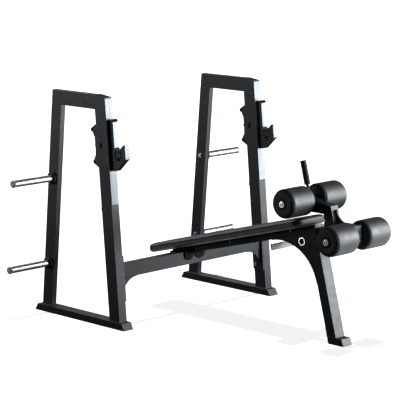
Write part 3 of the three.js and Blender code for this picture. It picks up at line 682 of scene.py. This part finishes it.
def build_fasteners():
    """Bolts, screws, and the gussets' washers with black plugs. Gives the bright pieces."""
    bolts, lug_bolts = bmesh.new(), bmesh.new()
    for _, side in SIDES:
        for z, y in ((0.178, -0.262), (0.385, -0.2639)):
            hex_bolt(bolts, machine(side * 0.5638, y, z), (-side, 0, 0), PLATE_BOLT, 0.3)
        for z, y in ((0.792, 0.2276), (0.290, 0.2724)):
            hex_bolt(bolts, machine(side * 0.5824, y, z), (-side, 0, 0), CROSSBAR_BOLT, 0.1)
        hex_bolt(lug_bolts, machine(side * 0.049, -0.3045, 0.352), (0, -1, 0), LUG_BOLT)
        hex_bolt(lug_bolts, machine(side * BEAM_SIDE, -0.172, 0.335), (side, 0, 0), LUG_BOLT, 0.2)
    new_piece("frame_bolts", bolts, MATERIALS["fastener_steel"], "frame", 30)
    new_piece("lug_bolts", lug_bolts, RECESS, "frame", 30)
    screws = bmesh.new()
    for _, side in SIDES:
        for y, z in ((-0.621, 0.460), (-1.074, 0.583)):
            socket_screw(screws, machine(side * BEAM_SIDE, y, z), (side, 0, 0))
    for along in (0.24, 0.52, 0.80, 1.10):
        socket_screw(screws, bench(0.0, along, -0.0401), BENCH.to_3x3() @ Vector((0, 0, -1)))
    rings, plugs = bmesh.new(), bmesh.new()
    inner, outer, plug = 0.0160, 0.0240, 0.0158
    for _, side in SIDES:
        place = along_axis(machine(side * BEAM_SIDE, -1.162, 0.537), (side, 0, 0))
        lathe(rings, [(inner, 0.0), (outer, 0.0), (outer, 0.0020), (0.0226, 0.0032), (0.0175, 0.0032),
                      (inner, 0.0020), (inner, 0.0)], place, 48)
        lathe(plugs, [(0.0, 0.0), (plug, 0.0), (plug, 0.0016), (0.0110, 0.0024), (0.0, 0.0026)], place, 40)
    bright = [new_piece("beam_screws", screws, CAP_ALUMINIUM, "frame", 30),
              new_piece("gusset_washers", rings, CAP_ALUMINIUM, "frame", 30)]
    new_piece("gusset_plugs", plugs, MATERIALS["black_rubber"], "frame", 30)
    return bright


def slab(bm, matrix, lows, highs, bevel=0.0006):
    """A box with rounded edges between two corners in a matrix's axes."""
    made = bmesh.ops.create_cube(bm, size=1.0)["verts"]
    size = [h - l for l, h in zip(lows, highs)]
    middle = [(h + l) / 2 for l, h in zip(lows, highs)]
    for v in made:
        v.co = Vector([m + c * s for m, c, s in zip(middle, v.co, size)])
    edges = {e for v in made for e in v.link_edges}
    out = bmesh.ops.bevel(bm, geom=list(edges), offset=bevel, segments=2, affect="EDGES", profile=0.5)
    touched = {v for f in out["faces"] for v in f.verts} | {v for v in made if v.is_valid}
    for v in touched:
        v.co = matrix @ v.co


def flat_ring(bm, x, way, low, high, width, lift):
    """A raised rectangular outline on a plate's side; low and high are (out, up)."""
    bottom, top = low[1] + width, high[1] - width
    for a, b in ((low, (high[0], bottom)), ((low[0], top), high),
                 ((low[0], bottom), (low[0] + width, top)), ((high[0] - width, bottom), (high[0], top))):
        xs = sorted((x, x + way * lift))
        slab(bm, UPRIGHT, (xs[0], -b[0], a[1]), (xs[1], -a[0], b[1]), 0.0003)


def build_hook_details():
    """Outlined block and slot under each saddle (the slot a black slab of painted shade), a black oval of
    painted shade over the carriage's side window, lobe bolts, and screws in the liner.
    """
    for name, side in SIDES:
        body = f"{name}_hook"
        x0 = side * SIDE_X
        dark, screws = bmesh.new(), bmesh.new()
        for way in (-1, 1):
            face = x0 + way * 0.0181
            flat_ring(dark, face, way, (0.0490, 0.9230), (0.0960, 0.9600), 0.0048, 0.0012)
            # the slot is a black slab standing proud of the plate: painted shade inside the slot
            xs = sorted((face, face + way * 0.0016))
            slab(dark, UPRIGHT, (xs[0], -0.0845, 0.9090), (xs[1], -0.0575, 0.9215), 0.0005)
            # black oval plate over the window in the carriage's side: painted shade of the window's depth
            xs = sorted((x0 + way * 0.0336, x0 + way * 0.0344))
            place = along_axis(upright(xs[0], -0.047, 0.993), (1, 0, 0))
            up = place.inverted().to_3x3() @ (UPRIGHT.to_3x3() @ Vector((0, 0, 1)))
            oval(dark, place, up.normalized(), 0.0105, 0.0062, xs[1] - xs[0])
            for out, height in ((-0.112, 1.084), (-0.110, 0.903)):
                socket_screw(dark, upright(x0 + way * 0.0300, out, height), (way, 0, 0), 0.0125, 0.0066)
        outward = UPRIGHT.to_3x3() @ Vector((0, -1, 0))
        for out, height in ((0.0448, 1.098), (0.0448, 1.012), (0.1298, 0.978), (0.1298, 0.935)):
            socket_screw(screws, upright(x0, out, height), outward, 0.0052, 0.0016)
        # outline, slot, window and lobe bolts as one near-black piece; the slot and the window are painted
        # shade
        new_piece(f"{name}_hook_trim", dark, RECESS, body, 30)
        new_piece(f"{name}_liner_screws", screws, MATERIALS["fastener_steel"], body, 30)


def build_painted_groove_shade():
    """Thin dark slabs down both sides of each wear strip: painted shade of the grooves along its edges."""
    bm = bmesh.new()
    for _, side in SIDES:
        for way in (-1, 1):
            xs = sorted((side * SIDE_X + way * 0.0262, side * SIDE_X + way * 0.0279))
            # a near-black slab standing in for the shade in the groove beside the strip
            slab(bm, UPRIGHT, (xs[0], -0.0020, 0.700), (xs[1], 0.0030, 1.248), 0.0004)
    new_piece("painted_groove_shade", bm, RECESS, "frame", 30)


def oval(bm, matrix, up, radius, half, depth):
    """A stadium-shaped plug: two half circles half apart along up, depth thick along local +Z."""
    across = Vector((0, 0, 1)).cross(up).normalized()
    outline = []
    for k in range(24):
        t = 2 * math.pi * k / 24
        lift = half if math.sin(t) >= 0 else -half
        outline.append(up * (radius * math.sin(t) + lift) + across * radius * math.cos(t))
    low = [bm.verts.new(matrix @ p) for p in outline]
    high = [bm.verts.new(matrix @ (p + Vector((0, 0, depth)))) for p in outline]
    bm.faces.new(low)
    bm.faces.new(high)
    for i in range(24):
        j = (i + 1) % 24
        bm.faces.new((low[i], low[j], high[j], high[i]))


def build_grip():
    """Ribbed rubber sleeve with a flange and a domed end."""
    axis = BENCH.to_3x3() @ Vector((0, 0, 1))
    start = UPPER_AXLE + axis * 0.082
    length = 0.133
    profile = [(0.0093, 0.0), (0.0165, 0.0), (0.0178, 0.0010), (0.0178, 0.0045), (0.0164, 0.0060)]
    ribs = 15
    step = (length - 0.024) / ribs
    for k in range(ribs):
        h = 0.010 + step * k
        profile += [(0.0158, h), (0.0172, h + 0.18 * step), (0.0172, h + 0.62 * step),
                    (0.0158, h + 0.8 * step)]
    profile += [(0.0170, length - 0.010), (0.0172, length - 0.004), (0.0145, length - 0.001), (0.0, length)]
    bm = bmesh.new()
    lathe(bm, profile, along_axis(start, axis), 48)
    piece = new_piece("ribbed_grip", bm, MATERIALS["black_rubber"], "frame", 40)
    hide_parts("handle_grip")


# ---------------------------------------------------------------- weld beads
def weld_loop(bm, corners, radius=0.0021):
    """A rippled bead along a closed line."""
    points = resampled([Vector(c) for c in corners], 0.0016)
    tube(bm, points, radius, sides=8,
         ripple=lambda i: 1.0 + 0.16 * math.cos(i * 2 * math.pi / 3) + 0.10 * noise.noise(points[i] * 300))


def spanning(x, half, low, high):
    """Corners of a rectangle that spans x by half on each side, between two (y, z) points."""
    return [(x - half, *low), (x + half, *low), (x + half, *high), (x - half, *high)]


def upright_y(z, end, face, depth):
    """Y of a leaning tube's face: end -1 is the upright and 1 the rear leg, face -1 the front."""
    return ORIGIN_Y + end * (0.2947 - math.tan(LEAN) * (z - 0.04)) + face * depth / 2 / math.cos(LEAN)


def build_welds():
    """Beads at the feet, the crossbar plates, the upright caps, the bench leg and the upper hub."""
    bm = bmesh.new()
    for _, side in SIDES:
        x = side * SIDE_X
        for end, depth, half in ((-1, 0.084, 0.028), (1, 0.0806, 0.0175)):
            y0, y1 = (upright_y(0.04, end, face, depth) for face in (-1, 1))
            weld_loop(bm, spanning(x, half, (y0, FEET_TOP), (y1, FEET_TOP)))
        low, high = 1.2205, 1.3030
        y0, y1 = upright_y(low, -1, 1, 0.084), upright_y(high, -1, 1, 0.084)
        weld_loop(bm, spanning(x, 0.0175, (y0, low), (y1, high)))
        plate = ((-0.296, 0.279), (-0.246, 0.279), (-0.246, 0.358), (-0.296, 0.358))
        weld_loop(bm, [machine(side * 0.5638, y, z) for y, z in plate], 0.0018)
    weld_loop(bm, spanning(0.0, BEAM_HALF, (ORIGIN_Y - 1.4095, FEET_TOP), (ORIGIN_Y - 1.3465, FEET_TOP)))
    leg = 1.2329
    corners = ((-BEAM_HALF, -BEAM_DEPTH), (BEAM_HALF, -BEAM_DEPTH), (BEAM_HALF, 0), (-BEAM_HALF, 0))
    weld_loop(bm, [bench(x, leg, up) for x, up in corners], 0.0016)
    for _, side in SIDES:
        x = side * BEAM_HALF
        straight = [bench(x, 1.2327, -0.3133 + 0.002), bench(x, 1.2327, -0.0403), bench(x, 0.9597, -0.0403)]
        tube(bm, resampled(straight, 0.0016, closed=False), 0.0014, closed=False, sides=8)
    for _, side in SIDES:
        points = [UPPER_AXLE + Vector((side * 0.0372, 0.0262 * math.cos(t), 0.0262 * math.sin(t)))
                  for t in (2 * math.pi * k / 90 for k in range(90))]
        tube(bm, points, 0.0008, sides=6)
    new_piece("weld_beads", bm, MATERIALS["frame_paint"], "frame", 80)


# ---------------------------------------------------------------- stage, lights, camera
def floor_material():
    """A pale floor that mostly glows by itself, so that shadows on it stay pale."""
    m = Nodes("studio_floor")
    m.set(Specular_IOR_Level=0.0, Emission_Strength=0.975)
    tone = m.noise(0.8, 2.0)
    color = m.mix(m.remap(tone, 0.3, 0.7, 0.0, 1.0), (0.898, 0.898, 0.896), (0.888, 0.888, 0.886))
    m.link(color, m.shader.inputs["Emission Color"])
    return m.finish(color, m.remap(tone, 0.3, 0.7, 0.85, 0.95))


def build_stage():
    bm = bmesh.new()
    bmesh.ops.create_grid(bm, x_segments=8, y_segments=8, size=60.0)
    floor = new_piece("studio_floor", bm, floor_material(), None)
    floor.visible_glossy = False
    floor.visible_diffuse = False
    build_world()
    return floor


def build_world():
    """White where the camera looks past the floor; a dim blue in everything else."""
    world = bpy.data.worlds.new("studio_world")
    scene.world = world
    world.use_nodes = True
    nodes, links = world.node_tree.nodes, world.node_tree.links
    dim = nodes["Background"]
    dim.inputs["Color"].default_value = (0.80, 0.90, 1.0, 1.0)
    dim.inputs["Strength"].default_value = 0.03
    pale = nodes.new("ShaderNodeBackground")
    seen = nodes.new("ShaderNodeMixShader")
    links.new(nodes.new("ShaderNodeLightPath").outputs["Is Camera Ray"], seen.inputs["Fac"])
    links.new(dim.outputs["Background"], seen.inputs[1])
    links.new(pale.outputs["Background"], seen.inputs[2])
    links.new(seen.outputs["Shader"], nodes["World Output"].inputs["Surface"])


def area_light(name, location, target, size, power, color):
    data = bpy.data.lights.new(name, "AREA")
    data.shape = "RECTANGLE"
    data.size, data.size_y = size
    data.energy = power
    data.color = color
    light = bpy.data.objects.new(name, data)
    scene.collection.objects.link(light)
    light.visible_camera = False
    light.location = location
    light.rotation_euler = (Vector(target) - Vector(location)).to_track_quat("-Z", "Y").to_euler()
    return light


def lit_only(light, pieces):
    """Limits a light to some objects."""
    group = bpy.data.collections.new(f"lit_by_{light.name}")
    for piece in pieces:
        group.objects.link(piece)
    light.light_linking.receiver_collection = group


def unlit(light, pieces):
    """Keeps a light off some objects."""
    lit_only(light, pieces)
    for entry in light.light_linking.receiver_collection.collection_objects:
        entry.light_linking.link_state = "EXCLUDE"


COOL, WHITE = (0.93, 0.97, 1.0), (1.0, 1.0, 1.0)
# place, target, size, power and colour of the soft lights
LIGHTS = {
    "key_softbox": ((2.6, -3.3, 1.25), (0, -0.5, 0.7), (3.2, 2.3), 312, COOL),
    "front_bounce": ((1.5, -1.9, 0.02), (1.5, -1.9, 1.0), (3.0, 2.4), 40, COOL),
    "back_softbox": ((-0.9, 2.9, 3.2), (0, 0, 0.5), (2.5, 2.0), 85, WHITE),
    "left_fill": ((-3.6, 3.4, 1.25), (-0.3, 0, 0.9), (2.4, 2.4), 24, COOL),
    "rear_softbox": ((4.0, 4.2, 1.4), (0, 0, 0.5), (3.0, 2.0), 12, COOL),
    "roller_key": ((2.6, -3.3, 1.50), (0, -0.5, 0.7), (3.2, 2.1), 420, COOL),
    "pad_bounce": ((0.15, 0.45, 0.03), (0.15, 0.45, 1.0), (1.0, 2.2), 6, WHITE),
    "cap_glint": ((-2.2, 1.7, 0.45), (-0.1, -0.4, 0.6), (1.8, 0.85), 3.0, COOL),
    "washer_glint": ((-2.2, 1.7, 0.45), (-0.1, -0.4, 0.6), (1.8, 0.85), 20, COOL),
    "tie_glint": (bench(-0.02, 1.13, -0.10), bench(-0.09, 1.04, -0.08), (0.16, 0.10), 0.5, COOL),
    "arm_glint": (machine(0, -1.90, 0.66), machine(0, -1.52, 0.62), (0.10, 0.10), 2.2, COOL),
}
OVERHEAD = {"power": 2.6, "angle": math.radians(3.5)}
CAMERA = {"place": machine(-7.1881, -7.4604, 2.468), "down": 10.144, "turn": -45.291, "lens": 160.73}


def build_lights(floor, upholstery, rollers, bright):
    """The big lights leave out the floor, and mostly the rollers; the small ones reach a few pieces each."""
    lights = {name: area_light(name, *values) for name, values in LIGHTS.items()}
    nodes = frame["nodes"]
    upper_rollers = [piece for piece in rollers if "upper" in piece.name]
    lit_only(lights["roller_key"], rollers)
    for name, pieces in (("key_softbox", rollers), ("front_bounce", upper_rollers),
                         ("back_softbox", rollers), ("left_fill", []), ("rear_softbox", rollers)):
        unlit(lights[name], [floor] + pieces)
    caps = [node for name, node in nodes.items() if "roller_cap" in name]
    for name, pieces in (("pad_bounce", upholstery), ("cap_glint", caps), ("washer_glint", bright),
                         ("tie_glint", [nodes["cross_tie"]]), ("arm_glint", [nodes["leg_hold_frame"]])):
        lit_only(lights[name], pieces)
    data = bpy.data.lights.new("overhead", "SUN")
    data.energy = OVERHEAD["power"]
    data.angle = OVERHEAD["angle"]
    sun = bpy.data.objects.new("overhead", data)
    scene.collection.objects.link(sun)
    lit_only(sun, [floor])


def build_camera():
    data = bpy.data.cameras.new("camera")
    data.sensor_width = 36
    data.lens = CAMERA["lens"]
    camera = bpy.data.objects.new("camera", data)
    scene.collection.objects.link(camera)
    camera.location = CAMERA["place"]
    camera.rotation_euler = (math.radians(90 - CAMERA["down"]), 0, math.radians(CAMERA["turn"]))
    scene.camera = camera
    scene.view_settings.view_transform = "Standard"


dress_frame()
pad = build_pad()
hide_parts("pad_cushion")
seams = build_seams(pad)
rollers = build_rollers()
bright_parts = build_fasteners()
build_hook_details()
build_painted_groove_shade()
build_grip()
build_welds()
build_lights(build_stage(), [pad] + seams, rollers, bright_parts)
build_camera()
